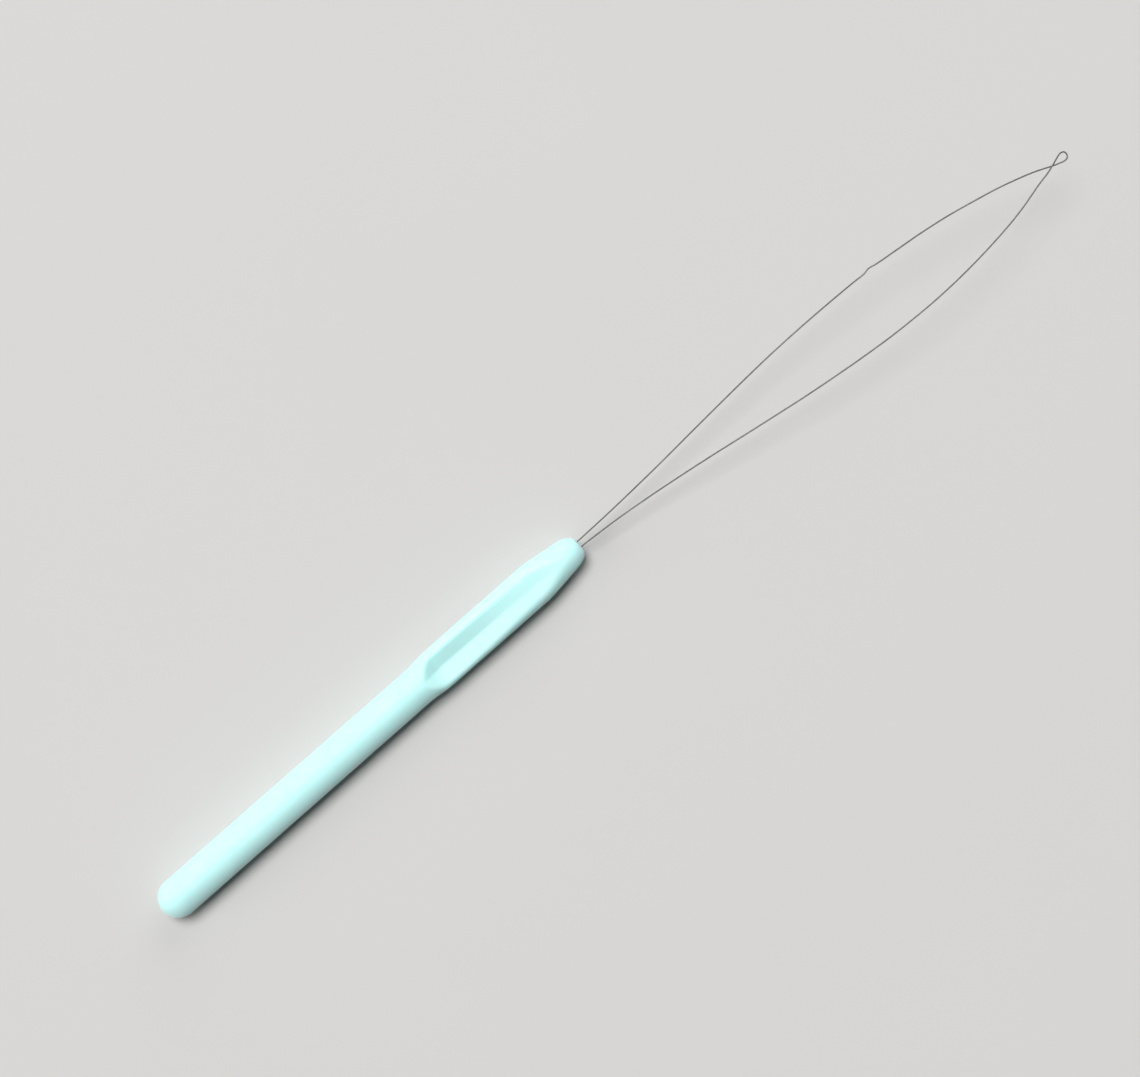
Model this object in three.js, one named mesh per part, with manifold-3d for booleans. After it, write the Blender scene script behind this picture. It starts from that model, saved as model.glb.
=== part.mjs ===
// Bead threader: a moulded plastic handle that holds the two tails of a looped spring wire.
// Units are millimetres. The origin is on the table, under the middle of the handle as it lies.
// +X runs along the handle towards the wire's eye, +Y is the handle's left side and +Z is up.

import * as THREE from 'three';
import { mergeVertices } from 'three/addons/utils/BufferGeometryUtils.js';
import Module from 'manifold-3d';

const wasm = await Module();
wasm.setup();

const { clamp, degToRad, lerp, smoothstep } = THREE.MathUtils;

// Handle: overall sizes, with lengths measured from the butt end
const HANDLE_LENGTH = 115;
const HANDLE_HEIGHT = 8.4;
const BUTT_WIDTH = 8.6;
const NECK_WIDTH = 8.4;
const GRIP_WIDTH = 9.3;
const NOSE_WIDTH = 6.2;
const NOSE_HEIGHT = 6.0;
const BUTT_DOME_LENGTH = 4.4;
const SWELL_START = 70;
const SWELL_LENGTH = 6;
const TAPER_LENGTH = 11.7;
const TAPER_SOFTNESS = 1.6;
const NOSE_LENGTH = 3.0;
const NOSE_FACE_RADIUS = 1.35;
const HANDLE_SIDES = 24;

// Thumb scoops, one on each side of the grip: two slanting walls that meet in a valley, with a ramp
// at each end. The left wall flattens out towards the nose. As the handle lies, the upper scoop is
// rolled towards the right.
const SCOOP_ROLL = 8;
const SCOOP_HALF_WIDTH = 3.45;
const VALLEY_DROP = 1.4;
const VALLEY_DROP_AT_NOSE = 0.12;
const VALLEY_FLOOR_HALF_WIDTH = 0.2;
const RIGHT_WALL_SLOPE = 0.406;
const RIGHT_WALL_SLOPE_AT_NOSE = 0.27;
const BUTT_RAMP_SETBACK = 5;
const BUTT_RAMP_SLOPE = 1;
const DEEP_LENGTH = 4;
const NOSE_RAMP_SETBACK = 0.7;
const NOSE_RAMP_SLOPE = 0.19;

// Bore in the nose, and the adhesive that fills it round the wire's tails
const BORE_DIAMETER = 2.0;
const BORE_DEPTH = 18;
const BORE_SIDES = 16;
const PLUG_CLEARANCE = 0.02;
const PLUG_RECESS = 0.3;
const PLUG_END_GAP = 0.3;

// Wire
const WIRE_DIAMETER = 0.3;
const WIRE_SIDES = 8;
const WIRE_CLEARANCE = 0.03;
const TAIL_SPREAD = 1.36;
const TAIL_DEPTH = 16;

// The loop leaves the nose pitched up, and is cut where it flexes. Stations are distances from the
// nose's face, along the loop's own plane.
const LOOP_PITCH = 5.5;
const BEND_STATION = 0.5;
const SWAY_STATION = 5;
const SQUEEZE_STATION = 10;
const WAIST_STATION = 78;
const EYE_STATION = 120;
const FLEX_GAP = 0.3;
const CROSSING_LIFT = 0.2;

// Routes of the two legs in the loop's plane, as [station, distance to the left of the axis]. The
// left leg has a small kink just past its waist, as a wire that has been in use does.
const LEFT_ROUTE = [
  [0, TAIL_SPREAD / 2], [SWAY_STATION, 0.76], [SQUEEZE_STATION, 0.88], [22, 1.38], [34, 2.1],
  [46, 2.78], [56, 3.2], [66, 3.28], [WAIST_STATION, 3.03], [81.2, 2.88], [82.5, 3.1],
  [84.4, 2.74], [89.3, 2.14], [95.5, 1.39], [101.6, 0.41], [107.7, -0.89], [113.7, -2.34],
  [EYE_STATION, -4.33],
];
const RIGHT_ROUTE = [
  [0, -TAIL_SPREAD / 2], [SWAY_STATION, -0.97], [SQUEEZE_STATION, -1.37], [20, -2.55],
  [32, -4.3], [45, -6.42], [57.4, -8.33], [70, -9.87], [WAIST_STATION, -10.57], [88.7, -10.93],
  [98, -10.6], [107.3, -9.69], [113.5, -8.69], [EYE_STATION, -7.1],
];

// Route round the eye, as [station, left, share of the crossing lift]: the wire comes in on the
// left leg, passes under its other end, rounds the tip and leaves along the right leg.
const EYE_ROUTE = [
  [EYE_STATION, -4.33, -0.5], [122.2, -5.22, -1], [124.2, -6.1, -1], [125.6, -6.63, -0.8],
  [126.8, -6.98, -0.4], [127.6, -6.83, 0], [127.95, -6.2, 0], [127.85, -5.55, 0],
  [127.2, -5.24, 0.4], [126.1, -5.45, 0.8], [124.2, -6.1, 1], [122.2, -6.68, 1],
  [EYE_STATION, -7.1, 0.5],
];

const AXIS_HEIGHT = HANDLE_HEIGHT / 2;
const NOSE_START = HANDLE_LENGTH - NOSE_LENGTH;
const GRIP_END = HANDLE_LENGTH - TAPER_LENGTH;
const SWELL_END = SWELL_START + SWELL_LENGTH;
const BUTT_RAMP_FOOT = SWELL_START + BUTT_RAMP_SETBACK;
const DEEP_END = BUTT_RAMP_FOOT + DEEP_LENGTH;
const NOSE_RAMP_START = GRIP_END + NOSE_RAMP_SETBACK;
const SCOOP_START = BUTT_RAMP_FOOT - HANDLE_HEIGHT / 2 / BUTT_RAMP_SLOPE;
const RIM_HEIGHT = HANDLE_HEIGHT / 2 * Math.sqrt(1 - (2 * SCOOP_HALF_WIDTH / GRIP_WIDTH) ** 2);

const MINT_PLASTIC = { color: 0xc9f3f1, roughness: 0.42, metalness: 0 };
const SPRING_STEEL = { color: 0x77787a, roughness: 0.35, metalness: 0.9 };
const CLEAR_ADHESIVE = { color: 0xd9f4f0, roughness: 0.3, metalness: 0 };

// Zero before a bend and the distance past it, with the bend itself rounded
function softRamp(distance, softness) {
  const reach = clamp(distance, -softness, softness) + softness;
  return reach * reach / softness / 4 + Math.max(0, distance - softness);
}

// Share of the way through the taper from the grip down to the nose's face
function taperShare(along) {
  return softRamp(along - GRIP_END, TAPER_SOFTNESS) / softRamp(TAPER_LENGTH, TAPER_SOFTNESS);
}

// Share of its way in to the nose's face that the outline has turned
function noseRounding(along) {
  const past = clamp((along - NOSE_START) / NOSE_LENGTH, 0, 1);
  return 1 - Math.sqrt(1 - past * past);
}

function halfHeight(along) {
  const full = lerp(HANDLE_HEIGHT, NOSE_HEIGHT, taperShare(along)) / 2;
  return lerp(full, NOSE_FACE_RADIUS, noseRounding(along));
}

function halfWidth(along) {
  const shankShare = clamp((along - BUTT_DOME_LENGTH) / (SWELL_START - BUTT_DOME_LENGTH), 0, 1);
  const shank = lerp(BUTT_WIDTH, NECK_WIDTH, shankShare);
  const swollen = lerp(shank, GRIP_WIDTH, smoothstep(along, SWELL_START, SWELL_END));
  const full = lerp(swollen, NOSE_WIDTH, taperShare(along)) / 2;
  return lerp(full, NOSE_FACE_RADIUS, noseRounding(along));
}

// Height of the upper scoop's surface above the handle's axis, before the scoop is rolled
function scoopHeight(along, left) {
  const shallow = smoothstep(along, DEEP_END, NOSE_RAMP_START);
  const drop = lerp(VALLEY_DROP, VALLEY_DROP_AT_NOSE, shallow);
  const rightSlope = lerp(RIGHT_WALL_SLOPE, RIGHT_WALL_SLOPE_AT_NOSE, shallow);
  const wallRise = left > 0 ? drop * left / SCOOP_HALF_WIDTH : -rightSlope * left;
  const fromButt = BUTT_RAMP_SLOPE * Math.max(0, BUTT_RAMP_FOOT - along);
  const toNose = NOSE_RAMP_SLOPE * Math.max(0, along - NOSE_RAMP_START);
  return RIM_HEIGHT - drop + wallRise + fromButt + toNose;
}

// Evenly spaced values from one number to another, both ends included
function spaced(from, to, steps) {
  return Array.from({ length: steps + 1 }, (_, index) => lerp(from, to, index / steps));
}

// A closed solid for cutting, with its shared corners merged and its empty triangles left out
function toSolid(geometry) {
  const bare = geometry.clone();
  bare.deleteAttribute('normal');
  bare.deleteAttribute('uv');
  const merged = mergeVertices(bare, 1e-4);
  const corners = Array.from(merged.index.array);
  const kept = [];
  for (let first = 0; first < corners.length; first += 3) {
    const [a, b, c] = corners.slice(first, first + 3);
    if (a !== b && b !== c && c !== a) {
      kept.push(a, b, c);
    }
  }
  return new wasm.Manifold(new wasm.Mesh({
    numProp: 3,
    vertProperties: new Float32Array(merged.attributes.position.array),
    triVerts: new Uint32Array(kept),
  }));
}

function toGeometry(solid) {
  const mesh = solid.getMesh();
  const geometry = new THREE.BufferGeometry();
  geometry.setAttribute('position', new THREE.BufferAttribute(mesh.vertProperties, 3));
  geometry.setIndex(new THREE.BufferAttribute(mesh.triVerts, 1));
  return geometry;
}

function namedMesh(name, geometry, finish) {
  const flat = geometry.index ? geometry.toNonIndexed() : geometry;
  flat.computeVertexNormals();
  const mesh = new THREE.Mesh(flat, new THREE.MeshStandardMaterial({ ...finish, flatShading: true }));
  mesh.name = name;
  return mesh;
}

// A round bar along X from one place to another, at a distance to the left of the axis
function bar(diameter, sides, from, to, left = 0) {
  const rounding = Math.cos(Math.PI / sides);
  const geometry = new THREE.CylinderGeometry(
    diameter / 2 / rounding, diameter / 2 / rounding, to - from, sides, 1, false, Math.PI / sides);
  geometry.rotateZ(-Math.PI / 2);
  geometry.translate((from + to) / 2, left, 0);
  return geometry;
}

// Handle blank: turned about its axis, then widened or narrowed from side to side
function handleBlank() {
  const rounding = Math.cos(Math.PI / HANDLE_SIDES);
  const outline = [new THREE.Vector2(0, 0)];
  for (const angle of spaced(0, Math.PI / 2, 8).slice(1)) {
    const along = BUTT_DOME_LENGTH * (1 - Math.cos(angle));
    outline.push(new THREE.Vector2(halfHeight(along) * Math.sin(angle), along));
  }
  const stations = [
    SWELL_START,
    ...spaced(SWELL_START, SWELL_END, 6).slice(1),
    ...spaced(GRIP_END - TAPER_SOFTNESS, GRIP_END + TAPER_SOFTNESS, 4),
    NOSE_START,
  ];
  for (const along of stations) {
    outline.push(new THREE.Vector2(halfHeight(along), along));
  }
  for (const angle of spaced(0, Math.PI / 2, 6).slice(1)) {
    const along = lerp(NOSE_START, HANDLE_LENGTH, Math.sin(angle));
    outline.push(new THREE.Vector2(halfHeight(along), along));
  }
  outline.push(new THREE.Vector2(0, HANDLE_LENGTH));
  for (const point of outline) {
    point.x /= rounding;
  }
  const blank = new THREE.LatheGeometry(outline, HANDLE_SIDES, Math.PI / HANDLE_SIDES);
  blank.rotateZ(-Math.PI / 2);
  const place = blank.attributes.position;
  for (let index = 0; index < place.count; index += 1) {
    const along = place.getX(index);
    place.setY(index, place.getY(index) * halfWidth(along) / halfHeight(along));
  }
  return blank;
}

// Cutter for the upper scoop: a section run along the handle, whose lower side follows the scoop
function scoopCutter() {
  const section = new THREE.Shape([
    new THREE.Vector2(-GRIP_WIDTH, HANDLE_HEIGHT),
    new THREE.Vector2(-GRIP_WIDTH, 1),
    new THREE.Vector2(-VALLEY_FLOOR_HALF_WIDTH, 0),
    new THREE.Vector2(VALLEY_FLOOR_HALF_WIDTH, 0),
    new THREE.Vector2(GRIP_WIDTH, 1),
    new THREE.Vector2(GRIP_WIDTH, HANDLE_HEIGHT),
  ]);
  const stations = [
    SCOOP_START,
    BUTT_RAMP_FOOT,
    ...spaced(DEEP_END, NOSE_RAMP_START, 5),
    HANDLE_LENGTH,
  ];
  const steps = stations.length - 1;
  const cutter = new THREE.ExtrudeGeometry(section, { depth: steps, steps, bevelEnabled: false });
  const alongX = new THREE.Matrix4().makeBasis(
    new THREE.Vector3(0, 1, 0), new THREE.Vector3(0, 0, 1), new THREE.Vector3(1, 0, 0));
  cutter.applyMatrix4(alongX);
  const place = cutter.attributes.position;
  for (let index = 0; index < place.count; index += 1) {
    const along = stations[Math.round(place.getX(index))];
    place.setX(index, along);
    if (place.getZ(index) < HANDLE_HEIGHT / 2) {
      place.setZ(index, scoopHeight(along, place.getY(index)));
    } else {
      place.setZ(index, 3 * HANDLE_HEIGHT);
    }
  }
  return cutter.rotateX(degToRad(SCOOP_ROLL));
}

function makeHandle() {
  const upperScoop = scoopCutter();
  const lowerScoop = scoopCutter().rotateX(Math.PI);
  const bore = bar(BORE_DIAMETER, BORE_SIDES, HANDLE_LENGTH - BORE_DEPTH, HANDLE_LENGTH + 1);
  const solid = toSolid(handleBlank())
    .subtract(toSolid(upperScoop))
    .subtract(toSolid(lowerScoop))
    .subtract(toSolid(bore));
  return namedMesh('handle', toGeometry(solid), MINT_PLASTIC);
}

function makeAdhesivePlug() {
  const start = HANDLE_LENGTH - BORE_DEPTH + PLUG_END_GAP;
  const end = HANDLE_LENGTH - PLUG_RECESS;
  const tailStart = HANDLE_LENGTH - TAIL_DEPTH - PLUG_END_GAP;
  let solid = toSolid(bar(BORE_DIAMETER - 2 * PLUG_CLEARANCE, BORE_SIDES, start, end));
  for (const side of [1, -1]) {
    const channel = bar(
      WIRE_DIAMETER + 2 * WIRE_CLEARANCE, WIRE_SIDES, tailStart, end + 1, side * TAIL_SPREAD / 2);
    solid = solid.subtract(toSolid(channel));
  }
  return namedMesh('adhesive_plug', toGeometry(solid), CLEAR_ADHESIVE);
}

function makeTail(name, side) {
  const start = HANDLE_LENGTH - TAIL_DEPTH;
  const end = HANDLE_LENGTH + BEND_STATION - FLEX_GAP / 2;
  return namedMesh(name, bar(WIRE_DIAMETER, WIRE_SIDES, start, end, side * TAIL_SPREAD / 2), SPRING_STEEL);
}

// A point of a leg's route at any station, on the straight between its neighbours
function routePoint(route, station) {
  const next = Math.max(1, route.findIndex(([along]) => along >= station));
  const [fromAlong, fromLeft] = route[next - 1];
  const [toAlong, toLeft] = route[next];
  const share = (station - fromAlong) / (toAlong - fromAlong);
  return new THREE.Vector3(station - BEND_STATION, lerp(fromLeft, toLeft, share), 0);
}

function wireAlong(points, steps) {
  const section = new THREE.Shape();
  const radius = WIRE_DIAMETER / 2 / Math.cos(Math.PI / WIRE_SIDES);
  for (let corner = 0; corner < WIRE_SIDES; corner += 1) {
    const angle = (corner + 0.5) * 2 * Math.PI / WIRE_SIDES;
    const [across, up] = [radius * Math.cos(angle), radius * Math.sin(angle)];
    if (corner === 0) {
      section.moveTo(across, up);
    } else {
      section.lineTo(across, up);
    }
  }
  const extrudePath = new THREE.CatmullRomCurve3(points, false, 'centripetal');
  return new THREE.ExtrudeGeometry(section, { steps, extrudePath, bevelEnabled: false });
}

// One rigid stretch of a leg between two flex stations, stopping short of each by half the gap
function makeLegStretch(name, route, from, to, steps, endLift = 0) {
  const start = from + FLEX_GAP / 2;
  const end = to - FLEX_GAP / 2;
  const between = route.filter(([along]) => along > start && along < end);
  const points = [
    routePoint(route, start),
    ...between.map(([along, left]) => new THREE.Vector3(along - BEND_STATION, left, 0)),
    routePoint(route, end),
  ];
  for (const point of points) {
    const share = clamp((point.x + BEND_STATION - from) / (to - from), 0, 1);
    point.z = endLift * share * share;
  }
  return namedMesh(name, wireAlong(points, steps), SPRING_STEEL);
}

function makeEye() {
  const points = EYE_ROUTE.map(([along, left, lift]) => (
    new THREE.Vector3(along - BEND_STATION, left, lift * CROSSING_LIFT)));
  const halfGap = FLEX_GAP / 2;
  points[0].lerp(points[1], halfGap / points[0].distanceTo(points[1]));
  const last = points.length - 1;
  points[last].lerp(points[last - 1], halfGap / points[last].distanceTo(points[last - 1]));
  return namedMesh('wire_eye', wireAlong(points, 48), SPRING_STEEL);
}

const LEGS = [
  { side: 'left', route: LEFT_ROUTE, tailSide: 1, endLift: -CROSSING_LIFT / 2 },
  { side: 'right', route: RIGHT_ROUTE, tailSide: -1, endLift: CROSSING_LIFT / 2 },
];

const threader = new THREE.Group();

const handleGroup = new THREE.Group();
handleGroup.position.set(-HANDLE_LENGTH / 2, 0, AXIS_HEIGHT);
handleGroup.add(makeHandle(), makeAdhesivePlug());
threader.add(handleGroup);

const loopGroup = new THREE.Group();
loopGroup.position.set(HANDLE_LENGTH / 2 + BEND_STATION, 0, AXIS_HEIGHT);
loopGroup.rotation.y = -degToRad(LOOP_PITCH);
threader.add(loopGroup);

for (const { side, route, tailSide, endLift } of LEGS) {
  handleGroup.add(makeTail(`wire_tail_${side}`, tailSide));
  loopGroup.add(
    makeLegStretch(`wire_root_${side}`, route, BEND_STATION, SWAY_STATION, 2),
    makeLegStretch(`wire_neck_${side}`, route, SWAY_STATION, SQUEEZE_STATION, 2),
    makeLegStretch(`wire_near_leg_${side}`, route, SQUEEZE_STATION, WAIST_STATION, 24),
    makeLegStretch(`wire_far_leg_${side}`, route, WAIST_STATION, EYE_STATION, 42, endLift),
  );
}
loopGroup.add(makeEye());

export default threader;
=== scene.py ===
"""Looks of a bead threader: a satin mint handle that holds a long, springy loop of fine wire.

Everything is in metres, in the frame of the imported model: the handle lies along X with its butt
towards -X, the loop leaves its nose towards +X, +Y is the handle's left and the table is at Z 0.
"""

import logging
import math
from dataclasses import dataclass, field
from enum import Enum
from typing import ClassVar, Iterable, Sequence

import bmesh
import bpy
from mathutils import Matrix, Vector
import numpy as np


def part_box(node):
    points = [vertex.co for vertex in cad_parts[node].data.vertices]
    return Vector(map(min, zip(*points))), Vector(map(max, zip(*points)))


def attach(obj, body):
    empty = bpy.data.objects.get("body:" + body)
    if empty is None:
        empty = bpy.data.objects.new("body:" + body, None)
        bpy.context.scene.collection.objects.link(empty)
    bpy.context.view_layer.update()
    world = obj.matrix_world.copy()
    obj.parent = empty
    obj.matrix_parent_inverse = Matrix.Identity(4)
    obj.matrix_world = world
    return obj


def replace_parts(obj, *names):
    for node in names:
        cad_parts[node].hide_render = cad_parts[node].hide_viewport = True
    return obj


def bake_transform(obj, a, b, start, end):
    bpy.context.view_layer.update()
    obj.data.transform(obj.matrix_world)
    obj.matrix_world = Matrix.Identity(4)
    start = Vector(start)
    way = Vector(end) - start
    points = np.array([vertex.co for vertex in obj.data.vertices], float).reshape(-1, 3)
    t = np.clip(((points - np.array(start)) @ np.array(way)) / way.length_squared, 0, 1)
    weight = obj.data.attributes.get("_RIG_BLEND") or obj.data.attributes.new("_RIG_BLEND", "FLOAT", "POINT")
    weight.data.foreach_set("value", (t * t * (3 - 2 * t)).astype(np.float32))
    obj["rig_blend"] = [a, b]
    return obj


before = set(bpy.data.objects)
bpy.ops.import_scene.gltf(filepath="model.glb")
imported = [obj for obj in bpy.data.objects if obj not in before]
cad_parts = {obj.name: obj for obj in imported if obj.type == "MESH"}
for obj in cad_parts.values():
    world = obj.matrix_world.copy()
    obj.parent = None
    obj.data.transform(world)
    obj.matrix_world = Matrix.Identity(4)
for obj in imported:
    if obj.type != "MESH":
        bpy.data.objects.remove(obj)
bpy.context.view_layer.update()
LOG = logging.getLogger("bead_threader")

# Points that lie nearer to each other than this are one point
TINY = 1e-7
# A point that lies nearer to a level than this is on it
NEAR = 1e-6
UP = Vector((0, 0, 1))
ALONG_HANDLE = Vector((1, 0, 0))
# Most values of a noise lie between these two
NOISE_CORE = (0.3, 0.7)

Colour = tuple[float, float, float]
Size = tuple[float, float, float]
Route = tuple[tuple[float, ...], ...]
# What an input of a material's node takes: another node's output, or a value
Feed = bpy.types.NodeSocket | float | Sequence[float]


class Slot(Enum):
    """The record's material slots that the pieces take their finishes from."""

    HANDLE_PLASTIC = "handle_plastic"
    ADHESIVE = "adhesive"
    WIRE = "wire"


class Sum(Enum):
    """What a material's math node does with its two values."""

    ADD = "ADD"
    SUBTRACT = "SUBTRACT"
    MULTIPLY = "MULTIPLY"


class Side(Enum):
    """One of the loop's two legs. The value is the sign of its Y at the handle."""

    LEFT = 1
    RIGHT = -1

    @property
    def label(self) -> str:
        """The leg's name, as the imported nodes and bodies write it."""
        return self.name.lower()


def lerp(low: float, high: float, share: float) -> float:
    """The value that lies a share of the way from low to high."""
    return low + (high - low) * share


def smoothstep(value: float, low: float, high: float) -> float:
    """How far value is from low to high, from 0 to 1, easing in and out."""
    share = min(1.0, max(0.0, (value - low) / (high - low)))
    return share * share * (3 - 2 * share)


def soft_ramp(distance: float, softness: float) -> float:
    """Zero before a bend and the distance past it, with the bend itself rounded.

    Args:
        distance: how far past the bend the point lies, negative before it.
        softness: how far before and after the bend its rounding reaches.

    Returns:
        The rounded distance, never negative.
    """
    reach = min(softness, max(-softness, distance)) + softness
    return reach * reach / softness / 4 + max(0.0, distance - softness)


def soft_lower(first: float, second: float, softness: float) -> tuple[float, float]:
    """The lower of two heights, with the edge between them rounded over.

    Args:
        first: the height that holds where it is clearly the lower.
        second: the height that cuts in where it is clearly the lower.
        softness: the difference in height over which the edge is rounded.

    Returns:
        The rounded lower height, and how near the edge is, from 0 (away from it) to 1 (on it).
    """
    share = min(1.0, max(0.0, 0.5 + 0.5 * (second - first) / softness))
    nearness = 4 * share * (1 - share)
    return lerp(second, first, share) - softness * nearness / 4, nearness


def spline_point(knots: tuple[Vector, Vector, Vector, Vector], share: float) -> Vector:
    """A point on the smooth curve through four points, between the middle two.

    Args:
        knots: the four points. The curve's speed follows the square root of their distances.
        share: how far the point is from the second knot to the third.

    Returns:
        The point.
    """
    times = [0.0]
    for start, end in zip(knots, knots[1:]):
        times.append(times[-1] + math.sqrt((end - start).length))
    time = lerp(times[1], times[2], share)

    def between(low: int, high: int, first: Vector, second: Vector) -> Vector:
        """The point that lies between two others at the wanted time."""
        return first.lerp(second, (time - times[low]) / (times[high] - times[low]))

    on_sides = [between(i, i + 1, knots[i], knots[i + 1]) for i in range(3)]
    before = between(0, 2, on_sides[0], on_sides[1])
    after = between(1, 3, on_sides[1], on_sides[2])
    return between(1, 2, before, after)


def turned(
    outline: Iterable[tuple[float, float]], axis_height: float, segments: int
) -> bmesh.types.BMesh:
    """Spins an outline about the handle's axis into a closed round body.

    Args:
        outline: each point's X and its distance from the axis.
        axis_height: how high the axis lies above the table.
        segments: how many flats the full turn has.

    Returns:
        The body, with its faces outwards.
    """
    bm = bmesh.new()
    points = [bm.verts.new((x, 0, axis_height + out)) for x, out in outline]
    edges = [bm.edges.new(pair) for pair in zip(points, points[1:])]
    bmesh.ops.spin(
        bm, geom=points + edges, cent=(0, 0, axis_height), axis=ALONG_HANDLE,
        dvec=(0, 0, 0), angle=math.tau, steps=segments, use_merge=True,
    )
    bmesh.ops.remove_doubles(bm, verts=bm.verts, dist=TINY)
    bmesh.ops.recalc_face_normals(bm, faces=bm.faces)
    return bm


def linked(name: str, data: bpy.types.ID) -> bpy.types.Object:
    """Makes an object and links it to the scene.

    Args:
        name: the object's name.
        data: its mesh, lamp or camera.

    Returns:
        The new object, at the origin.
    """
    thing = bpy.data.objects.new(name, data)
    bpy.context.scene.collection.objects.link(thing)
    return thing


def dressed(name: str, bm: bmesh.types.BMesh, finish: "Finish") -> bpy.types.Object:
    """Turns a finished bmesh into an object that is dressed in its finish.

    Args:
        name: the object's name.
        bm: the object's mesh, which is freed.
        finish: what the surface is like.

    Returns:
        The new object, at the origin.
    """
    mesh = bpy.data.meshes.new(name)
    bm.to_mesh(mesh)
    bm.free()
    mesh.materials.append(finish.material())
    return linked(name, mesh)


@dataclass(frozen=True)
class Viewpoint:
    """The place of something that looks at the tool from a distance, such as a lamp.

    The bearing is counted from +X towards +Y, and the elevation from the table upwards.
    """

    bearing: float
    elevation: float
    distance: float
    target: tuple[float, float, float] = (0.0, 0.0, 0.0)

    def hang(self, name: str, data: bpy.types.ID) -> bpy.types.Object:
        """Makes the object that looks at the target from here.

        Args:
            name: the object's name.
            data: its lamp or camera.

        Returns:
            The new object.
        """
        level = math.cos(self.elevation)
        back = Vector((
            level * math.cos(self.bearing), level * math.sin(self.bearing),
            math.sin(self.elevation),
        ))
        thing = linked(name, data)
        thing.location = Vector(self.target) + back * self.distance
        thing.rotation_mode = "QUATERNION"
        thing.rotation_quaternion = (-back).to_track_quat("-Z", "Y")
        return thing


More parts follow.
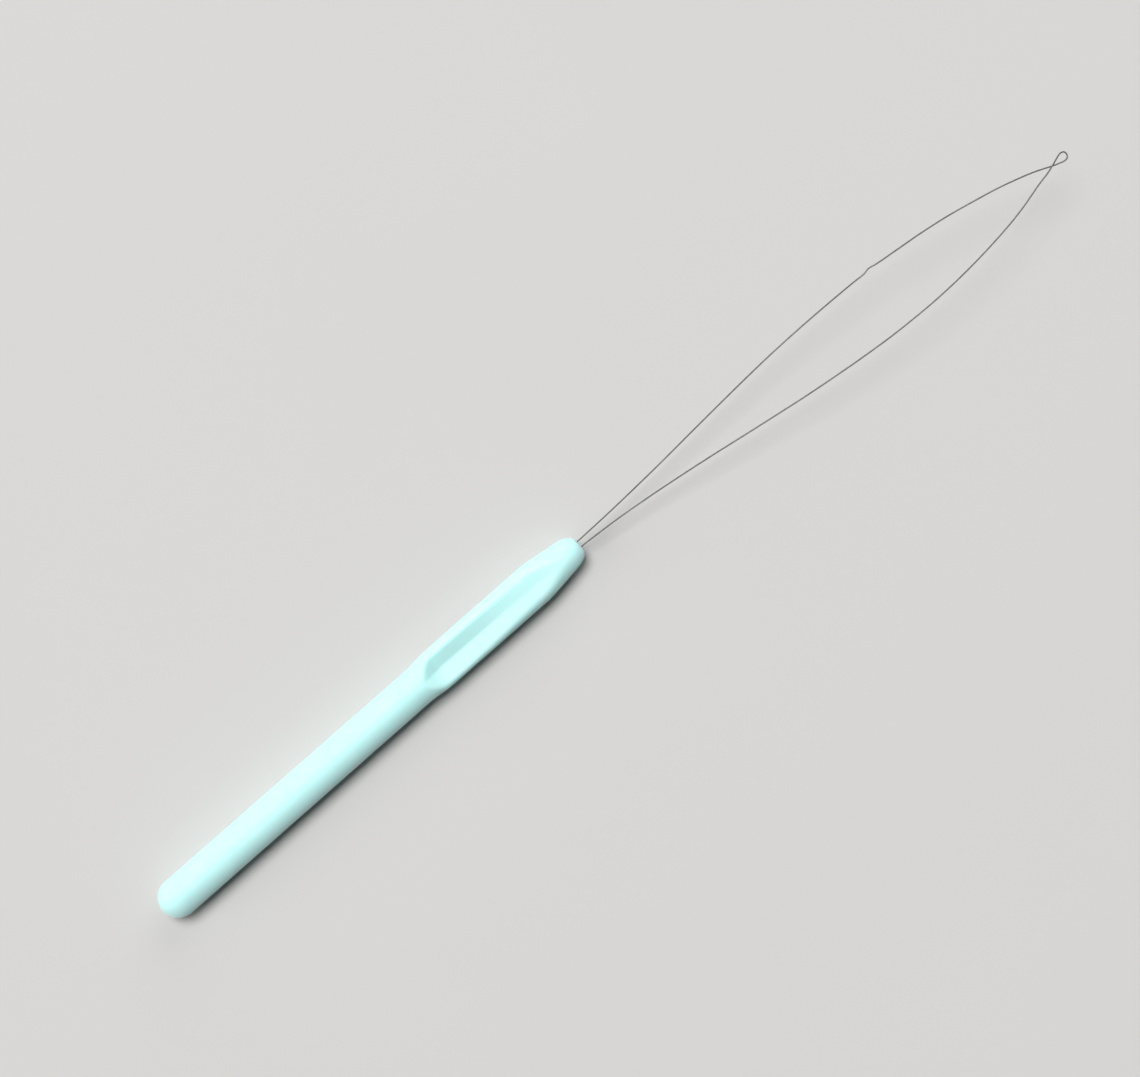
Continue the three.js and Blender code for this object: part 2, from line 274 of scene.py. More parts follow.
class NodeGraph:
    """A node material while it is being wired up."""

    def __init__(self, name: str) -> None:
        """Makes an empty material of that name, with its output and its main shader.

        Args:
            name: the material's name.
        """
        self.material = bpy.data.materials.new(name)
        self.material.use_nodes = True
        self.tree = self.material.node_tree
        self.tree.nodes.clear()
        self.shader = self.add("ShaderNodeBsdfPrincipled")
        output = self.add("ShaderNodeOutputMaterial")
        self.tree.links.new(self.shader.outputs["BSDF"], output.inputs["Surface"])

    def add(self, kind: str, **inputs: Feed) -> bpy.types.Node:
        """Adds a node.

        Args:
            kind: Blender's name for the node's type.
            inputs: values or sockets for its inputs, by name, with _ for a space.

        Returns:
            The new node.
        """
        node = self.tree.nodes.new(kind)
        for key, value in inputs.items():
            self.feed(node.inputs[key.replace("_", " ")], value)
        return node

    def feed(self, socket: bpy.types.NodeSocket, value: Feed) -> None:
        """Links another node's output to an input, or sets the input's own value.

        Args:
            socket: the input.
            value: the other node's output, or the value.
        """
        if isinstance(value, bpy.types.NodeSocket):
            self.tree.links.new(value, socket)
        else:
            socket.default_value = value

    def surface(self, **inputs: Feed) -> None:
        """Sets or links inputs of the main shader, by name, with _ for a space."""
        for key, value in inputs.items():
            self.feed(self.shader.inputs[key.replace("_", " ")], value)

    def place(self, unit: Size = (1, 1, 1)) -> bpy.types.NodeSocket:
        """The surface's own Object coordinates, counted in a unit for each axis.

        Args:
            unit: the units, in metres.

        Returns:
            The socket with the coordinates.
        """
        coordinates = self.add("ShaderNodeTexCoord").outputs["Object"]
        scale = tuple(1 / size for size in unit)
        mapping = self.add("ShaderNodeMapping", Vector=coordinates, Scale=scale)
        return mapping.outputs["Vector"]

    def attribute(self, name: str) -> bpy.types.Node:
        """Adds a node that reads one of the mesh's own attributes.

        Args:
            name: the attribute's name.

        Returns:
            The new node.
        """
        node = self.add("ShaderNodeAttribute")
        node.attribute_name = name
        return node

    def noise(
        self, where: bpy.types.NodeSocket, size: float, detail: float = 2, roughness: float = 0.5
    ) -> bpy.types.NodeSocket:
        """Cloudy noise from 0 to 1, centred on about 0.5.

        Args:
            where: the coordinates that it is read at.
            size: how wide one cloud is, in the units of the coordinates.
            detail: how many finer layers lie on the first.
            roughness: how strong the finer layers are.

        Returns:
            The socket with the noise's value.
        """
        node = self.add(
            "ShaderNodeTexNoise", Vector=where, Scale=1 / size, Detail=detail, Roughness=roughness
        )
        return node.outputs["Fac"]

    def remap(
        self, value: bpy.types.NodeSocket, seen: tuple[float, float], wanted: tuple[float, float]
    ) -> bpy.types.NodeSocket:
        """Moves a value from one range to another and holds it there.

        Args:
            value: the socket to remap.
            seen: the range that the value has now.
            wanted: the range that it gets.

        Returns:
            The socket with the remapped value.
        """
        node = self.add("ShaderNodeMapRange", Value=value)
        node.clamp = True
        for socket, number in zip(("From Min", "From Max", "To Min", "To Max"), seen + wanted):
            node.inputs[socket].default_value = number
        return node.outputs["Result"]

    def combine(self, operation: Sum, first: Feed, second: Feed) -> bpy.types.NodeSocket:
        """Does one sum on two values.

        Args:
            operation: which sum.
            first: the first value.
            second: the value that is added to it, taken from it or multiplied with it.

        Returns:
            The socket with the result.
        """
        node = self.add("ShaderNodeMath")
        node.operation = operation.value
        self.feed(node.inputs[0], first)
        self.feed(node.inputs[1], second)
        return node.outputs["Value"]

    def mix_colours(
        self, share: bpy.types.NodeSocket, first: Feed, second: Feed
    ) -> bpy.types.NodeSocket:
        """Mixes two colours.

        Args:
            share: how much of the second colour there is, from 0 to 1.
            first: the first colour.
            second: the second colour.

        Returns:
            The socket with the mixed colour.
        """
        node = self.add("ShaderNodeMix")
        node.data_type = "RGBA"
        sockets = {socket.identifier: socket for socket in node.inputs}
        self.feed(sockets["Factor_Float"], share)
        self.feed(sockets["A_Color"], first)
        self.feed(sockets["B_Color"], second)
        return next(s for s in node.outputs if s.identifier == "Result_Color")

    def bump(
        self, height: bpy.types.NodeSocket, depth: float, under: bpy.types.NodeSocket | None = None
    ) -> bpy.types.NodeSocket:
        """Relief from a height that runs from 0 to 1.

        Args:
            height: the height's socket.
            depth: how deep the relief is, in metres.
            under: the normal of coarser relief that this one lies on.

        Returns:
            The socket with the new normal.
        """
        node = self.add("ShaderNodeBump", Strength=1.0, Distance=depth, Height=height)
        if under is not None:
            self.feed(node.inputs["Normal"], under)
        return node.outputs["Normal"]

    def mottled(
        self, share: bpy.types.NodeSocket, colour: Colour, spread: float
    ) -> bpy.types.NodeSocket:
        """Varies a colour from a little darker to a little lighter.

        Args:
            share: how light the colour is, from 0 to 1.
            colour: the colour in the middle.
            spread: how far it goes to either side, as a share of itself.

        Returns:
            The socket with the varied colour.
        """
        return self.mix_colours(share, shade(colour, 1 - spread), shade(colour, 1 + spread))


def shade(colour: Colour, factor: float) -> tuple[float, float, float, float]:
    """A linear colour made lighter or darker by a factor, with its alpha."""
    return (*[min(1.0, channel * factor) for channel in colour], 1.0)


class Finish:
    """What a surface is like. Each kind makes its material once and hands it out again."""

    title: str

    def make(self) -> bpy.types.Material:
        """Builds the finish's material. Each kind of finish has its own way."""
        raise NotImplementedError

    def material(self) -> bpy.types.Material:
        """The finish's material, made when it is first asked for."""
        return bpy.data.materials.get(self.title) or self.make()


@dataclass(frozen=True)
class SatinPlastic(Finish):
    """Moulded plastic that light sinks into a little, with the fine matt grain of its mould."""

    title: str = "satin_mint_plastic"
    colour: Colour = (0.552, 0.878, 0.866)
    mottle: float = 0.015
    mottle_size: float = 0.011
    roughness: float = 0.58
    roughness_spread: float = 0.05
    reflectance: float = 0.28
    translucency: float = 0.85
    scatter_radius: Colour = (0.5, 1.0, 0.95)
    scatter_depth: float = 0.0020
    sheen: float = 0.40
    sheen_roughness: float = 0.4
    flow_size: Size = (0.030, 0.0016, 0.0016)
    grain_size: float = 0.00011
    grain_detail: float = 1
    grain_depth: float = 0.000004
    ripple_size: float = 0.0035
    ripple_depth: float = 0.00002
    rubbed_gloss: float = 0.12
    rubbed_lift: float = 1.02
    scuff_size: Size = (0.0035, 0.00018, 0.00018)
    scuff_detail: float = 3
    scuff_band: tuple[float, float] = (0.62, 0.74)
    scuff_dullness: float = 0.10

    def make(self) -> bpy.types.Material:
        """Builds the material: mottled colour, flow streaks, rubbed rims, grain and scuffs.

        Returns:
            The material.
        """
        graph = NodeGraph(self.title)
        here = graph.place()
        colour = graph.mottled(graph.noise(here, self.mottle_size), self.colour, self.mottle)
        rubbed = graph.attribute("rubbed").outputs["Fac"]
        colour = graph.mix_colours(rubbed, colour, shade(self.colour, self.rubbed_lift))

        flow = graph.noise(graph.place(self.flow_size), 1.0)
        scuffs = graph.noise(graph.place(self.scuff_size), 1.0, self.scuff_detail)
        scuffed = graph.remap(scuffs, self.scuff_band, (0.0, self.scuff_dullness))
        low, high = self.roughness - self.roughness_spread, self.roughness + self.roughness_spread
        streaked = graph.remap(flow, NOISE_CORE, (low, high))
        worn = graph.combine(Sum.MULTIPLY, rubbed, self.rubbed_gloss)
        roughness = graph.combine(Sum.SUBTRACT, streaked, worn)
        roughness = graph.combine(Sum.ADD, roughness, scuffed)

        ripple = graph.bump(graph.noise(here, self.ripple_size), self.ripple_depth)
        grain = graph.noise(here, self.grain_size, self.grain_detail)
        graph.surface(
            Base_Color=colour,
            Roughness=roughness,
            Normal=graph.bump(grain, self.grain_depth, under=ripple),
            Specular_IOR_Level=self.reflectance,
            Subsurface_Weight=self.translucency,
            Subsurface_Radius=self.scatter_radius,
            Subsurface_Scale=self.scatter_depth,
            Sheen_Weight=self.sheen,
            Sheen_Roughness=self.sheen_roughness,
        )
        return graph.material


@dataclass(frozen=True)
class SpringSteel(Finish):
    """Drawn spring wire: dull grey steel with fine marks of the die along it."""

    title: str = "drawn_spring_steel"
    colour: Colour = (0.084, 0.0845, 0.0865)
    tint_spread: float = 0.12
    tint_length: float = 0.006
    tint_detail: float = 3
    roughness: float = 0.36
    roughness_spread: float = 0.08
    die_mark_width: float = 0.35
    die_mark_detail: float = 4
    die_mark_harshness: float = 0.6
    die_mark_depth: float = 0.000003

    def make(self) -> bpy.types.Material:
        """Builds the material: die marks along the wire over slowly changing grey.

        Returns:
            The material.
        """
        graph = NodeGraph(self.title)
        drawn = graph.attribute("drawn").outputs["Vector"]
        marks = graph.noise(
            drawn, self.die_mark_width, self.die_mark_detail, self.die_mark_harshness
        )
        tint = graph.noise(graph.place(), self.tint_length, self.tint_detail)
        tint = graph.remap(tint, NOISE_CORE, (0.0, 1.0))
        low, high = self.roughness - self.roughness_spread, self.roughness + self.roughness_spread
        graph.surface(
            Base_Color=graph.mottled(tint, self.colour, self.tint_spread),
            Roughness=graph.remap(marks, NOISE_CORE, (low, high)),
            Normal=graph.bump(marks, self.die_mark_depth),
            Metallic=1.0,
        )
        return graph.material


@dataclass(frozen=True)
class SetAdhesive(Finish):
    """Clear adhesive that has set in the bore and takes the colour of the plastic round it."""

    title: str = "set_adhesive"
    colour: Colour = (0.50, 0.78, 0.77)
    roughness: float = 0.16
    cloud_size: float = 0.0005
    cloud_detail: float = 3
    cloud_spread: float = 0.06
    ripple_depth: float = 0.00001

    def make(self) -> bpy.types.Material:
        """Builds the material: glossy, faintly cloudy and a little uneven.

        Returns:
            The material.
        """
        graph = NodeGraph(self.title)
        clouds = graph.noise(graph.place(), self.cloud_size, self.cloud_detail)
        graph.surface(
            Base_Color=graph.mottled(clouds, self.colour, self.cloud_spread),
            Roughness=self.roughness,
            Normal=graph.bump(clouds, self.ripple_depth),
        )
        return graph.material


@dataclass(frozen=True)
class PaleTable(Finish):
    """The plain, matt, pale surface that the tool lies on."""

    title: str = "pale_table"
    colour: Colour = (0.552, 0.545, 0.534)
    mottle: float = 0.006
    mottle_size: float = 0.05
    roughness: float = 0.9
    reflectance: float = 0.1

    def make(self) -> bpy.types.Material:
        """Builds the material: matt, with very faint mottling.

        Returns:
            The material.
        """
        graph = NodeGraph(self.title)
        mottle = graph.noise(graph.place(), self.mottle_size)
        graph.surface(
            Base_Color=graph.mottled(mottle, self.colour, self.mottle),
            Roughness=self.roughness,
            Specular_IOR_Level=self.reflectance,
        )
        return graph.material


@dataclass
class Handle:
    """The moulded handle: domed butt, round shank, wider grip with two thumb scoops, blunt nose.

    Lengths along it are measured from its butt end, and heights from its axis.
    """

    butt_width: float = 0.0086
    neck_width: float = 0.0084
    grip_width: float = 0.0093
    nose_width: float = 0.0062
    nose_height: float = 0.0060
    butt_dome_length: float = 0.0044
    swell_start: float = 0.070
    swell_length: float = 0.006
    taper_length: float = 0.0117
    taper_softness: float = 0.0016
    nose_length: float = 0.0030
    nose_face_radius: float = 0.00135
    roll: float = math.radians(8)

    bore_diameter: float = 0.0020
    bore_depth: float = 0.018
    bore_edge: float = 0.0001
    # How far in the middle of the bore's rounded edge lies, as a share of the edge
    bore_edge_middle: float = 0.3
    # The nose stays round this far beyond the bore, and from this many times the radius of its
    # face outwards it has its full width
    bore_surround: float = 0.0002
    widening_reach: float = 1.2

    rim_height: float = 0.00282
    scoop_half_width: float = 0.00345
    valley_drop: float = 0.0014
    valley_drop_at_nose: float = 0.00012
    right_wall_slope: float = 0.22
    deep_end: float = 0.079
    butt_ramp_foot: float = 0.075
    butt_ramp_slope: float = 1.0
    nose_ramp_start: float = 0.104
    nose_ramp_slope: float = 0.19
    crease: float = 0.00022
    ramp_softness: float = 0.0014
    rim_softness: float = 0.0010

    parting_line_width: float = 0.00014
    parting_line_height: float = 0.000025

    segments: int = 160
    shank_ring_spacing: float = 0.003
    grip_ring_spacing: float = 0.00033
    dome_rings: int = 18
    corner_rings: int = 12

    start: float = field(init=False)
    length: float = field(init=False)
    height: float = field(init=False)
    axis_height: float = field(init=False)
    nose_start: float = field(init=False)
    grip_end: float = field(init=False)

    def __post_init__(self) -> None:
        """Takes the handle's place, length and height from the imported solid."""
        low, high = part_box("handle")
        self.start = low.x
        self.length = high.x - low.x
        self.height = high.z - low.z
        self.axis_height = (low.z + high.z) / 2
        self.nose_start = self.length - self.nose_length
        self.grip_end = self.length - self.taper_length

    def taper_share(self, along: float) -> float:
        """Share of the way through the straight taper from the grip down to the nose's face."""
        whole = soft_ramp(self.taper_length, self.taper_softness)
        return soft_ramp(along - self.grip_end, self.taper_softness) / whole

    def rounding(self, along: float) -> float:
        """Share of its way in to the nose's face that the outline has turned, from 0 to 1."""
        past = max(0.0, along - self.nose_start) / self.nose_length
        return 1 - math.sqrt(max(0.0, 1 - past * past))

    def half_height(self, along: float) -> float:
        """Half the handle's height, leaving out its rounded butt and its scoops."""
        full = lerp(self.height, self.nose_height, self.taper_share(along)) / 2
        return lerp(full, self.nose_face_radius, self.rounding(along))

    def half_width(self, along: float) -> float:
        """Half the handle's width, leaving out its rounded butt and its parting line.

        Args:
            along: the distance from the butt.

        Returns:
            Half the width there.
        """
        shank_length = self.swell_start - self.butt_dome_length
        shank_share = min(1.0, max(0.0, (along - self.butt_dome_length) / shank_length))
        shank = lerp(self.butt_width, self.neck_width, shank_share)
        swell = smoothstep(along, self.swell_start, self.swell_start + self.swell_length)
        swollen = lerp(shank, self.grip_width, swell)
        full = lerp(swollen, self.nose_width, self.taper_share(along)) / 2
        full = lerp(full, self.nose_face_radius, self.rounding(along))
        return full - self.parting_line_height

    def scoop_height(self, along: float, across: float) -> float:
        """Height of the upper scoop's surface: two slanting walls and a ramp at each end.

        Args:
            along: the distance from the butt.
            across: the distance to the left of the handle's middle plane, before it is rolled.

        Returns:
            The surface's height above the handle's axis.
        """
        shallow = smoothstep(along, self.deep_end, self.nose_ramp_start)
        drop = lerp(self.valley_drop, self.valley_drop_at_nose, shallow)
        left, right = drop / self.scoop_half_width, self.right_wall_slope
        mean, tilt = (left + right) / 2, (left - right) / 2
        walls = mean * math.hypot(across, self.crease) + tilt * across
        from_butt = soft_ramp(self.butt_ramp_foot - along, self.ramp_softness)
        to_nose = soft_ramp(along - self.nose_ramp_start, self.ramp_softness)
        ends = self.butt_ramp_slope * from_butt + self.nose_ramp_slope * to_nose
        return self.rim_height - drop + walls + ends

    def outline(self) -> Iterable[tuple[float, float]]:
        """The lengthwise outline, from the butt's middle over the nose to the bore's bottom.

        Yields:
            The distance along the handle and from its axis, of each point.
        """
        yield 0.0, 0.0
        for step in range(1, self.dome_rings + 1):
            angle = math.pi / 2 * step / self.dome_rings
            along = self.butt_dome_length * (1 - math.cos(angle))
            yield along, self.half_height(along) * math.sin(angle)
        for along in self.stations():
            yield along, self.half_height(along)
        for step in range(1, self.corner_rings + 1):
            angle = math.pi / 2 * step / self.corner_rings
            along = lerp(self.nose_start, self.length, math.sin(angle))
            yield along, self.half_height(along)
        bore_radius = self.bore_diameter / 2
        edge_middle = self.bore_edge * self.bore_edge_middle
        yield self.length, bore_radius + self.bore_edge
        yield self.length - edge_middle, bore_radius + edge_middle
        yield self.length - self.bore_edge, bore_radius
        yield self.length - self.bore_depth, bore_radius
        yield self.length - self.bore_depth, 0.0

    def stations(self) -> Iterable[float]:
        """Places along the handle, close together where the scoops and the tapers are.

        Yields:
            The distance from the butt, of each place.
        """
        shank_steps = round((self.swell_start - self.butt_dome_length) / self.shank_ring_spacing)
        for step in range(1, shank_steps + 1):
            yield lerp(self.butt_dome_length, self.swell_start, step / shank_steps)
        grip_steps = round((self.nose_start - self.swell_start) / self.grip_ring_spacing)
        for step in range(1, grip_steps + 1):
            yield lerp(self.swell_start, self.nose_start, step / grip_steps)

    def turn(self) -> bmesh.types.BMesh:
        """Makes the closed round blank, with its bore."""
        outline = ((self.start + along, out) for along, out in self.outline())
        return turned(outline, self.axis_height, self.segments)

    def shape(self, bm: bmesh.types.BMesh) -> None:
        """Widens the round blank from side to side and presses in its upper and lower scoops.

        Args:
            bm: the blank, which also gets the attribute that says where its rims are rubbed.
        """
        rubbed = bm.verts.layers.float.new("rubbed")
        round_to = self.bore_diameter / 2 + self.bore_surround
        wide_from = self.nose_face_radius * self.widening_reach
        for vert in bm.verts:
            along = vert.co.x - self.start
            height = vert.co.z - self.axis_height
            outside = smoothstep(math.hypot(vert.co.y, height), round_to, wide_from)
            widening = self.half_width(along) / self.half_height(along)
            vert.co.y *= lerp(1.0, widening, outside)
            if not self.swell_start < along < self.length - self.bore_edge or outside < 1:
                continue
            scoop = self.scoop_height(along, vert.co.y * math.copysign(1, height))
            lowered, nearness = soft_lower(abs(height), scoop, self.rim_softness)
            vert.co.z = self.axis_height + math.copysign(lowered, height)
            vert[rubbed] = nearness

    def raise_parting_line(self, bm: bmesh.types.BMesh) -> None:
        """Raises the fine ridge where the two mould halves met, along both sides and both ends.

        Args:
            bm: the shaped handle.
        """
        for edge in (-1, 1):
            bmesh.ops.bisect_plane(
                bm, geom=bm.verts[:] + bm.edges[:] + bm.faces[:], dist=TINY,
                plane_co=(0, 0, self.axis_height + edge * self.parting_line_width / 2),
                plane_no=UP,
            )
        bm.normal_update()
        for vert in bm.verts:
            midway = abs(vert.co.z - self.axis_height) < NEAR
            if midway and abs(vert.co.y) > self.bore_diameter:
                vert.co.y += self.parting_line_height * vert.normal.y

    def build(self) -> bpy.types.Object:
        """Models the handle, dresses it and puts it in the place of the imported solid.

        Returns:
            The handle.
        """
        bm = self.turn()
        self.shape(bm)
        self.raise_parting_line(bm)
        bmesh.ops.rotate(
            bm, verts=bm.verts, cent=(0, 0, self.axis_height),
            matrix=Matrix.Rotation(self.roll, 3, "X"),
        )
        for face in bm.faces:
            face.smooth = True
        piece = dressed("moulded_handle", bm, SatinPlastic())
        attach(piece, "handle_unit")
        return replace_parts(piece, "handle")


@dataclass
class AdhesivePlug:
    """The set adhesive that fills the bore in the nose and holds the two tails of the wire."""

    handle: Handle
    tail_spread: float
    wire_diameter: float
    sink: float = 0.00030
    meniscus: float = 0.00022
    meniscus_power: int = 6
    creep_height: float = 0.00020
    creep_reach: float = 0.00011
    press: float = 0.00001
    rings: int = 14
    segments: int = 72

    def build(self) -> bpy.types.Object:
        """Models the plug, with its sunken face drawn up the bore's wall and up both wires.

        Returns:
            The plug.
        """
        handle = self.handle
        face_at = handle.start + handle.length - self.sink
        radius = handle.bore_diameter / 2 + self.press
        back = handle.start + handle.length - handle.bore_depth
        outline = [(face_at, radius * ring / self.rings) for ring in range(self.rings + 1)]
        outline += [(back, radius), (back, 0.0)]
        bm = turned(outline, handle.axis_height, self.segments)
        for vert in bm.verts:
            if abs(vert.co.x - face_at) < TINY:
                vert.co.x += self.rise(vert.co.y, vert.co.z - handle.axis_height)
        for face in bm.faces:
            face.smooth = face.calc_center_median().x > back + NEAR
        piece = dressed("set_adhesive", bm, SetAdhesive())
        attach(piece, "handle_unit")
        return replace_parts(piece, "adhesive_plug")

    def rise(self, left: float, up: float) -> float:
        """How far the adhesive's face stands out, at a place across the bore.

        Args:
            left: the place's distance to the left of the axis.
            up: the place's height above the axis.

        Returns:
            The height of the face above its lowest level.
        """
        out = math.hypot(left, up) / (self.handle.bore_diameter / 2)
        height = self.meniscus * out ** self.meniscus_power
        for side in Side:
            from_wire = math.hypot(left - side.value * self.tail_spread / 2, up)
            past_wire = max(0.0, from_wire - self.wire_diameter / 2)
            height += self.creep_height * math.exp(-past_wire / self.creep_reach)
        return height


@dataclass(frozen=True)
class Stretch:
    """One stretch of the wire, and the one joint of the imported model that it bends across.

    Stations are distances from the nose's face along the loop's own plane.
    """

    name: str
    start: tuple[Side, float]
    end: tuple[Side, float]
    bodies: tuple[str, str]
    bend: tuple[float, float]
    stands_for: tuple[str, ...]


@dataclass
class WireLoop:
    """The single spring wire: two tails in the handle, two bowed legs, and the small eye.

    Its route is one smooth curve from the left tail round the eye to the right tail. The points
    are listed: a tail's are depths in the handle, and the others are [station from the
    nose's face, distance to the left of the axis]. The eye's also have their share of the lift
    with which the wire crosses itself.
    """

    handle: Handle
    diameter: float = 0.0003
    tail_spread: float = 0.00136
    tail_points: tuple[float, ...] = (0.016, 0.008, 0.001)
    pitch: float = math.radians(5.5)
    bend_station: float = 0.0005
    squeeze_station: float = 0.010
    waist_station: float = 0.078
    eye_station: float = 0.120
    crossing_lift: float = 0.0002
    left_cuts: tuple[float, ...] = (0.0042, 0.0082, 0.044, 0.104)
    right_cuts: tuple[float, ...] = (0.0042, 0.0082, 0.044, 0.120)
    bends: tuple[tuple[float, float], ...] = (
        (0.0, 0.0011), (0.0042, 0.0058), (0.0084, 0.0116), (0.062, 0.094),
    )
    eye_bend: tuple[float, float] = (0.114, 0.1195)
    sides: int = 16
    ring_spacing: float = 0.0004
    fine_ring_spacing: float = 0.00012
    die_mark_length: float = 0.02

    LEFT_ROUTE: ClassVar[Route] = (
        (0.005, 0.00076), (0.010, 0.00088), (0.022, 0.00138), (0.034, 0.0021), (0.046, 0.00278),
        (0.056, 0.0032), (0.066, 0.00328), (0.078, 0.00303), (0.0812, 0.00288), (0.0825, 0.0031),
        (0.0844, 0.00274), (0.0893, 0.00214), (0.0955, 0.00139), (0.1016, 0.00041),
        (0.1077, -0.00089), (0.1137, -0.00234), (0.120, -0.00433),
    )
    RIGHT_ROUTE: ClassVar[Route] = (
        (0.005, -0.00097), (0.010, -0.00137), (0.020, -0.00255), (0.032, -0.0043),
        (0.045, -0.00642), (0.0574, -0.00833), (0.070, -0.00987), (0.078, -0.01057),
        (0.0887, -0.01093), (0.098, -0.0106), (0.1073, -0.00969), (0.1135, -0.00869),
        (0.120, -0.0071),
    )
    EYE_ROUTE: ClassVar[Route] = (
        (0.1222, -0.00522, -1.0), (0.1242, -0.0061, -1.0), (0.1256, -0.00663, -0.8),
        (0.1268, -0.00698, -0.4), (0.1276, -0.00683, 0.0), (0.12795, -0.0062, 0.0),
        (0.12785, -0.00555, 0.0), (0.1272, -0.00524, 0.4), (0.1261, -0.00545, 0.8),
        (0.1242, -0.0061, 1.0), (0.1222, -0.00668, 1.0),
    )

    out: Vector = field(init=False)
    over: Vector = field(init=False)
    hinge: Vector = field(init=False)
    line: list[Vector] = field(init=False)
    tip: int = field(init=False)
    rings: list[Matrix] = field(init=False)
    travelled: list[float] = field(init=False)

    def __post_init__(self) -> None:
        """Works out the loop's own directions, its centre line, and the frame of every ring."""
        mouth = self.handle.start + self.handle.length
        self.out = Vector((math.cos(self.pitch), 0, math.sin(self.pitch)))
        self.over = Vector((-math.sin(self.pitch), 0, math.cos(self.pitch)))
        self.hinge = Vector((mouth + self.bend_station, 0, self.handle.axis_height))
        self.line = self.centre_line()
        self.tip = max(range(len(self.line)), key=lambda ring: self.station(self.line[ring]))
        self.rings = [self.ring_frame(ring) for ring in range(len(self.line))]
        self.travelled = [0.0]
        for start, end in zip(self.line, self.line[1:]):
            self.travelled.append(self.travelled[-1] + (end - start).length)

    def place(self, station: float, left: float, lift: float = 0.0) -> Vector:
        """A point of the loop, in the row frame.

        Args:
            station: the distance from the nose's face along the loop's plane.
            left: the distance to the left of the handle's axis.
            lift: the distance above the loop's plane.

        Returns:
            The point.
        """
        flat = self.hinge + self.out * (station - self.bend_station) + self.over * lift
        return flat + Vector((0, left, 0))

    def station(self, point: Vector) -> float:
        """The station of a point of the loop. A point of a tail has a negative one."""
        return (point - self.hinge).dot(self.out) + self.bend_station

    def leg_points(self, side: Side, route: Route) -> list[Vector]:
        """The points of one tail and leg, from inside the handle to the eye's station.

        Args:
            side: which leg it is.
            route: the leg's points from the handle's end on.

        Returns:
            The points, in the row frame.
        """
        spread = side.value * self.tail_spread / 2
        points = [
            self.hinge + Vector((-self.bend_station - depth, spread, 0))
            for depth in self.tail_points
        ]
        points.append(self.place(self.bend_station, spread))
        far_length = self.eye_station - self.waist_station
        for station, left in route:
            share = max(0.0, (station - self.waist_station) / far_length)
            lift = -side.value * self.crossing_lift / 2 * share ** 2
            points.append(self.place(station, left, lift))
        return points

    def centre_line(self) -> list[Vector]:
        """The wire's whole centre line, from the left tail round the eye to the right tail.

        Returns:
            Points on the curve, closer together at the eye and where the wire leaves the handle.
        """
        left = self.leg_points(Side.LEFT, self.LEFT_ROUTE)
        right = self.leg_points(Side.RIGHT, self.RIGHT_ROUTE)
        eye = [
            self.place(station, across, share * self.crossing_lift)
            for station, across, share in self.EYE_ROUTE
        ]
        points = left + eye + right[::-1]
        ends = [points[0] * 2 - points[1], *points, points[-1] * 2 - points[-2]]
        curve = [points[0]]
        for knots in zip(ends, ends[1:], ends[2:], ends[3:]):
            middle = self.station((knots[1] + knots[2]) / 2)
            fine = middle > self.eye_station or 0 < middle < self.squeeze_station
            spacing = self.fine_ring_spacing if fine else self.ring_spacing
            steps = max(2, round((knots[2] - knots[1]).length / spacing))
            curve += [spline_point(knots, step / steps) for step in range(1, steps + 1)]
        return curve

    def ring_frame(self, ring: int) -> Matrix:
        """Where one ring of the wire lies and how it is turned.

        Args:
            ring: the ring's number.

        Returns:
            The ring's frame, with its Z along the wire.
        """
        forward = self.line[min(ring + 1, len(self.line) - 1)] - self.line[max(ring - 1, 0)]
        forward.normalize()
        across = self.over.cross(forward).normalized()
        turn = Matrix((across, forward.cross(across), forward)).transposed()
        return Matrix.Translation(self.line[ring]) @ turn.to_4x4()

    def ring_at(self, side: Side, station: float) -> int:
        """The number of the ring that lies nearest to a station of one leg."""
        half = range(self.tip + 1) if side is Side.LEFT else range(self.tip, len(self.line))
        return min(half, key=lambda ring: abs(self.station(self.line[ring]) - station))

    def stretches(self) -> Iterable[Stretch]:
        """Names every stretch of the wire, leg by leg from the handle outwards, and then the eye.

        Yields:
            Each stretch.
        """
        for side, leg_cuts in ((Side.LEFT, self.left_cuts), (Side.RIGHT, self.right_cuts)):
            leg = side.label
            cuts = (-self.tail_points[0], *leg_cuts)
            bodies = ("handle_unit", "loop_root", "loop_neck", f"near_leg_{leg}", f"far_leg_{leg}")
            kinds = {
                "tail": (f"wire_tail_{leg}", f"wire_root_{leg}"),
                "neck": (f"wire_neck_{leg}",),
                "bow": (f"wire_near_leg_{leg}",),
                "waist": (f"wire_far_leg_{leg}",),
            }
            for number, (kind, stands_for) in enumerate(kinds.items()):
                yield Stretch(
                    name=f"spring_wire_{kind}_{leg}",
                    start=(side, cuts[number]),
                    end=(side, cuts[number + 1]),
                    bodies=bodies[number:number + 2],
                    bend=self.bends[number],
                    stands_for=stands_for,
                )
        yield Stretch(
            name="spring_wire_eye",
            start=(Side.LEFT, self.left_cuts[-1]),
            end=(Side.RIGHT, self.right_cuts[-1]),
            bodies=("far_leg_left", "eye"),
            bend=self.eye_bend,
            stands_for=("wire_eye",),
        )

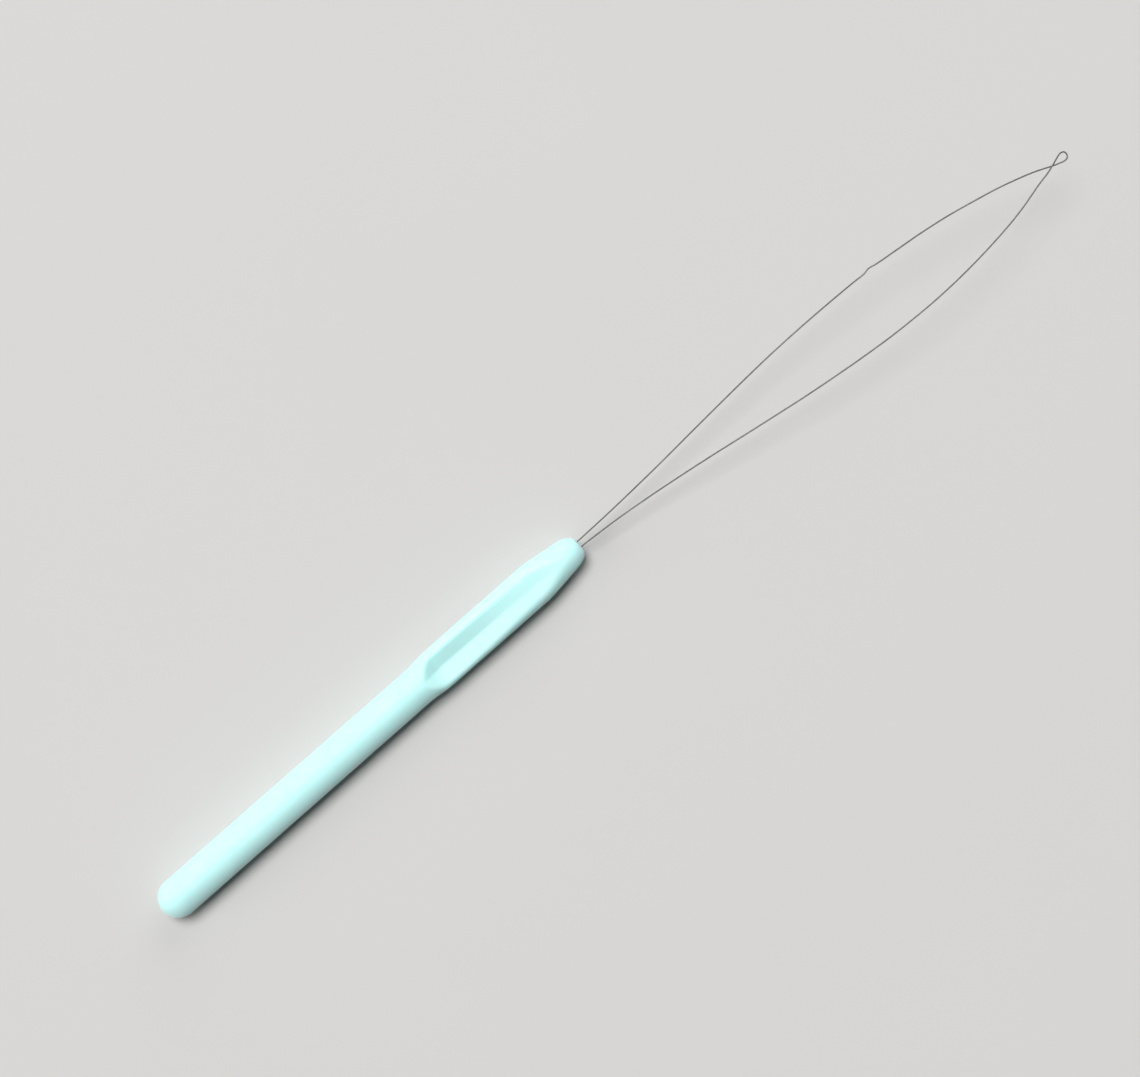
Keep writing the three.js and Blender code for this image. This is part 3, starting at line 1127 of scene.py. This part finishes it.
    def sweep(self, first: int, last: int) -> bmesh.types.BMesh:
        """Extrudes a round section along the centre line, from one ring to another.

        Args:
            first: the first ring's number.
            last: the last ring's number.

        Returns:
            The closed stretch, whose "drawn" attribute runs round the wire and along it.
        """
        bm = bmesh.new()
        drawn = bm.verts.layers.float_vector.new("drawn")
        section = bmesh.ops.create_circle(
            bm, cap_ends=False, radius=self.diameter / 2, segments=self.sides,
            matrix=self.rings[first],
        )["verts"]
        edges = bm.edges[:]
        rims = [edges]
        for ring in range(first, last + 1):
            if ring > first:
                made = bmesh.ops.extrude_edge_only(bm, edges=edges)["geom"]
                section = [item for item in made if isinstance(item, bmesh.types.BMVert)]
                edges = [
                    item for item in made
                    if isinstance(item, bmesh.types.BMEdge) and set(item.verts) <= set(section)
                ]
                step = self.rings[ring] @ self.rings[ring - 1].inverted()
                bmesh.ops.transform(bm, matrix=step, verts=section)
            into_ring = self.rings[ring].inverted()
            for vert in section:
                round_wire = (into_ring @ vert.co).xy.normalized()
                vert[drawn] = (*round_wire, self.travelled[ring] / self.die_mark_length)
        rims.append(edges)
        for rim in rims:
            bmesh.ops.contextual_create(bm, geom=rim)
            for edge in rim:
                edge.smooth = False
        bmesh.ops.recalc_face_normals(bm, faces=bm.faces)
        for face in bm.faces:
            face.smooth = True
        return bm

    def build(self) -> list[bpy.types.Object]:
        """Models every stretch of the wire, and bends each across its joint.

        Returns:
            The stretches, which meet ring to ring.
        """
        pieces = []
        for stretch in self.stretches():
            first, last = sorted((self.ring_at(*stretch.start), self.ring_at(*stretch.end)))
            piece = dressed(stretch.name, self.sweep(first, last), SpringSteel())
            side = stretch.start[0]
            bend_start, bend_end = (self.line[self.ring_at(side, place)] for place in stretch.bend)
            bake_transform(piece, *stretch.bodies, start=bend_start, end=bend_end)
            pieces.append(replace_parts(piece, *stretch.stands_for))
        return pieces


@dataclass(frozen=True)
class Camera:
    """The camera, almost straight above the table, as the photograph was taken."""

    place: Viewpoint = Viewpoint(
        bearing=math.radians(-131.364), elevation=math.radians(88), distance=0.4994,
        target=(0.05702, 0.00228, 0.0),
    )
    focal_length_mm: float = 75
    sensor_width_mm: float = 36
    near: float = 0.01
    far: float = 20

    def build(self) -> None:
        """Makes the camera, aims it at its target and gives it to the scene."""
        data = bpy.data.cameras.new("photo_camera")
        data.lens = self.focal_length_mm
        data.sensor_width = self.sensor_width_mm
        data.clip_start, data.clip_end = self.near, self.far
        bpy.context.scene.camera = self.place.hang("photo_camera", data)


@dataclass(frozen=True)
class Softbox:
    """A round soft lamp that is aimed at the tool.

    Its spread is the angle that it fills, seen from the tool. A brightness of 1 makes a white
    surface that faces the lamp come out white.
    """

    name: str
    place: Viewpoint
    spread: float
    brightness: float

    def build(self) -> None:
        """Hangs the lamp in its place, turned towards the tool."""
        data = bpy.data.lights.new(self.name, "AREA")
        data.shape = "DISK"
        data.size = 2 * self.place.distance * math.tan(self.spread / 2)
        data.energy = self.brightness * (math.pi * self.place.distance) ** 2
        self.place.hang(self.name, data)


@dataclass
class Studio:
    """A pale table under three soft lamps, with a little even light from everywhere else."""

    table_radius: float = 1.5
    table_segments: int = 96
    table_gap: float = 0.00001
    lamps: tuple[Softbox, ...] = (
        Softbox(
            "overhead_softbox", Viewpoint(math.radians(88), math.radians(71), distance=6.0),
            spread=math.radians(28), brightness=1.067,
        ),
        Softbox(
            "butt_softbox", Viewpoint(math.radians(155), math.radians(27), distance=6.0),
            spread=math.radians(44), brightness=0.36,
        ),
        Softbox(
            "nose_softbox", Viewpoint(math.radians(35), math.radians(27), distance=6.0),
            spread=math.radians(44), brightness=0.30,
        ),
    )
    ambient_brightness: float = 0.035
    backdrop_colour: Colour = (0.69, 0.68, 0.665)

    def build(self) -> None:
        """Makes the table, the lamps and the world."""
        self.build_table()
        for lamp in self.lamps:
            lamp.build()
        self.build_world()

    def build_table(self) -> None:
        """Lays a large disc just under the part's own rest plane."""
        bm = bmesh.new()
        bmesh.ops.create_circle(
            bm, cap_ends=True, radius=self.table_radius, segments=self.table_segments,
            matrix=Matrix.Translation((0, 0, -self.table_gap)),
        )
        dressed("table", bm, PaleTable())

    def build_world(self) -> None:
        """Lights the scene evenly, with a pale backdrop for the camera and for reflections."""
        world = bpy.data.worlds.new("studio")
        world.use_nodes = True
        tree = world.node_tree
        tree.nodes.clear()
        ambient = tree.nodes.new("ShaderNodeBackground")
        ambient.inputs["Strength"].default_value = self.ambient_brightness
        ambient.inputs["Color"].default_value = (1, 1, 1, 1)
        backdrop = tree.nodes.new("ShaderNodeBackground")
        backdrop.inputs["Color"].default_value = (*self.backdrop_colour, 1)
        path = tree.nodes.new("ShaderNodeLightPath")
        seen = path.outputs["Is Camera Ray"]
        for ray in ("Is Glossy Ray", "Is Transmission Ray"):
            either = tree.nodes.new("ShaderNodeMath")
            either.operation = "MAXIMUM"
            tree.links.new(seen, either.inputs[0])
            tree.links.new(path.outputs[ray], either.inputs[1])
            seen = either.outputs["Value"]
        mix = tree.nodes.new("ShaderNodeMixShader")
        tree.links.new(seen, mix.inputs["Fac"])
        tree.links.new(ambient.outputs["Background"], mix.inputs[1])
        tree.links.new(backdrop.outputs["Background"], mix.inputs[2])
        output = tree.nodes.new("ShaderNodeOutputWorld")
        tree.links.new(mix.outputs["Shader"], output.inputs["Surface"])
        bpy.context.scene.world = world


def main() -> None:
    """Builds the studio, the camera and every piece of the threader."""
    logging.basicConfig(level=logging.INFO, format="%(name)s: %(message)s")
    bpy.context.scene.view_settings.view_transform = "Standard"
    Studio().build()
    Camera().build()
    handle = Handle()
    wire = WireLoop(handle)
    plug = AdhesivePlug(handle, wire.tail_spread, wire.diameter)
    for piece in (handle.build(), plug.build(), *wire.build()):
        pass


if __name__ == "__main__":
    main()
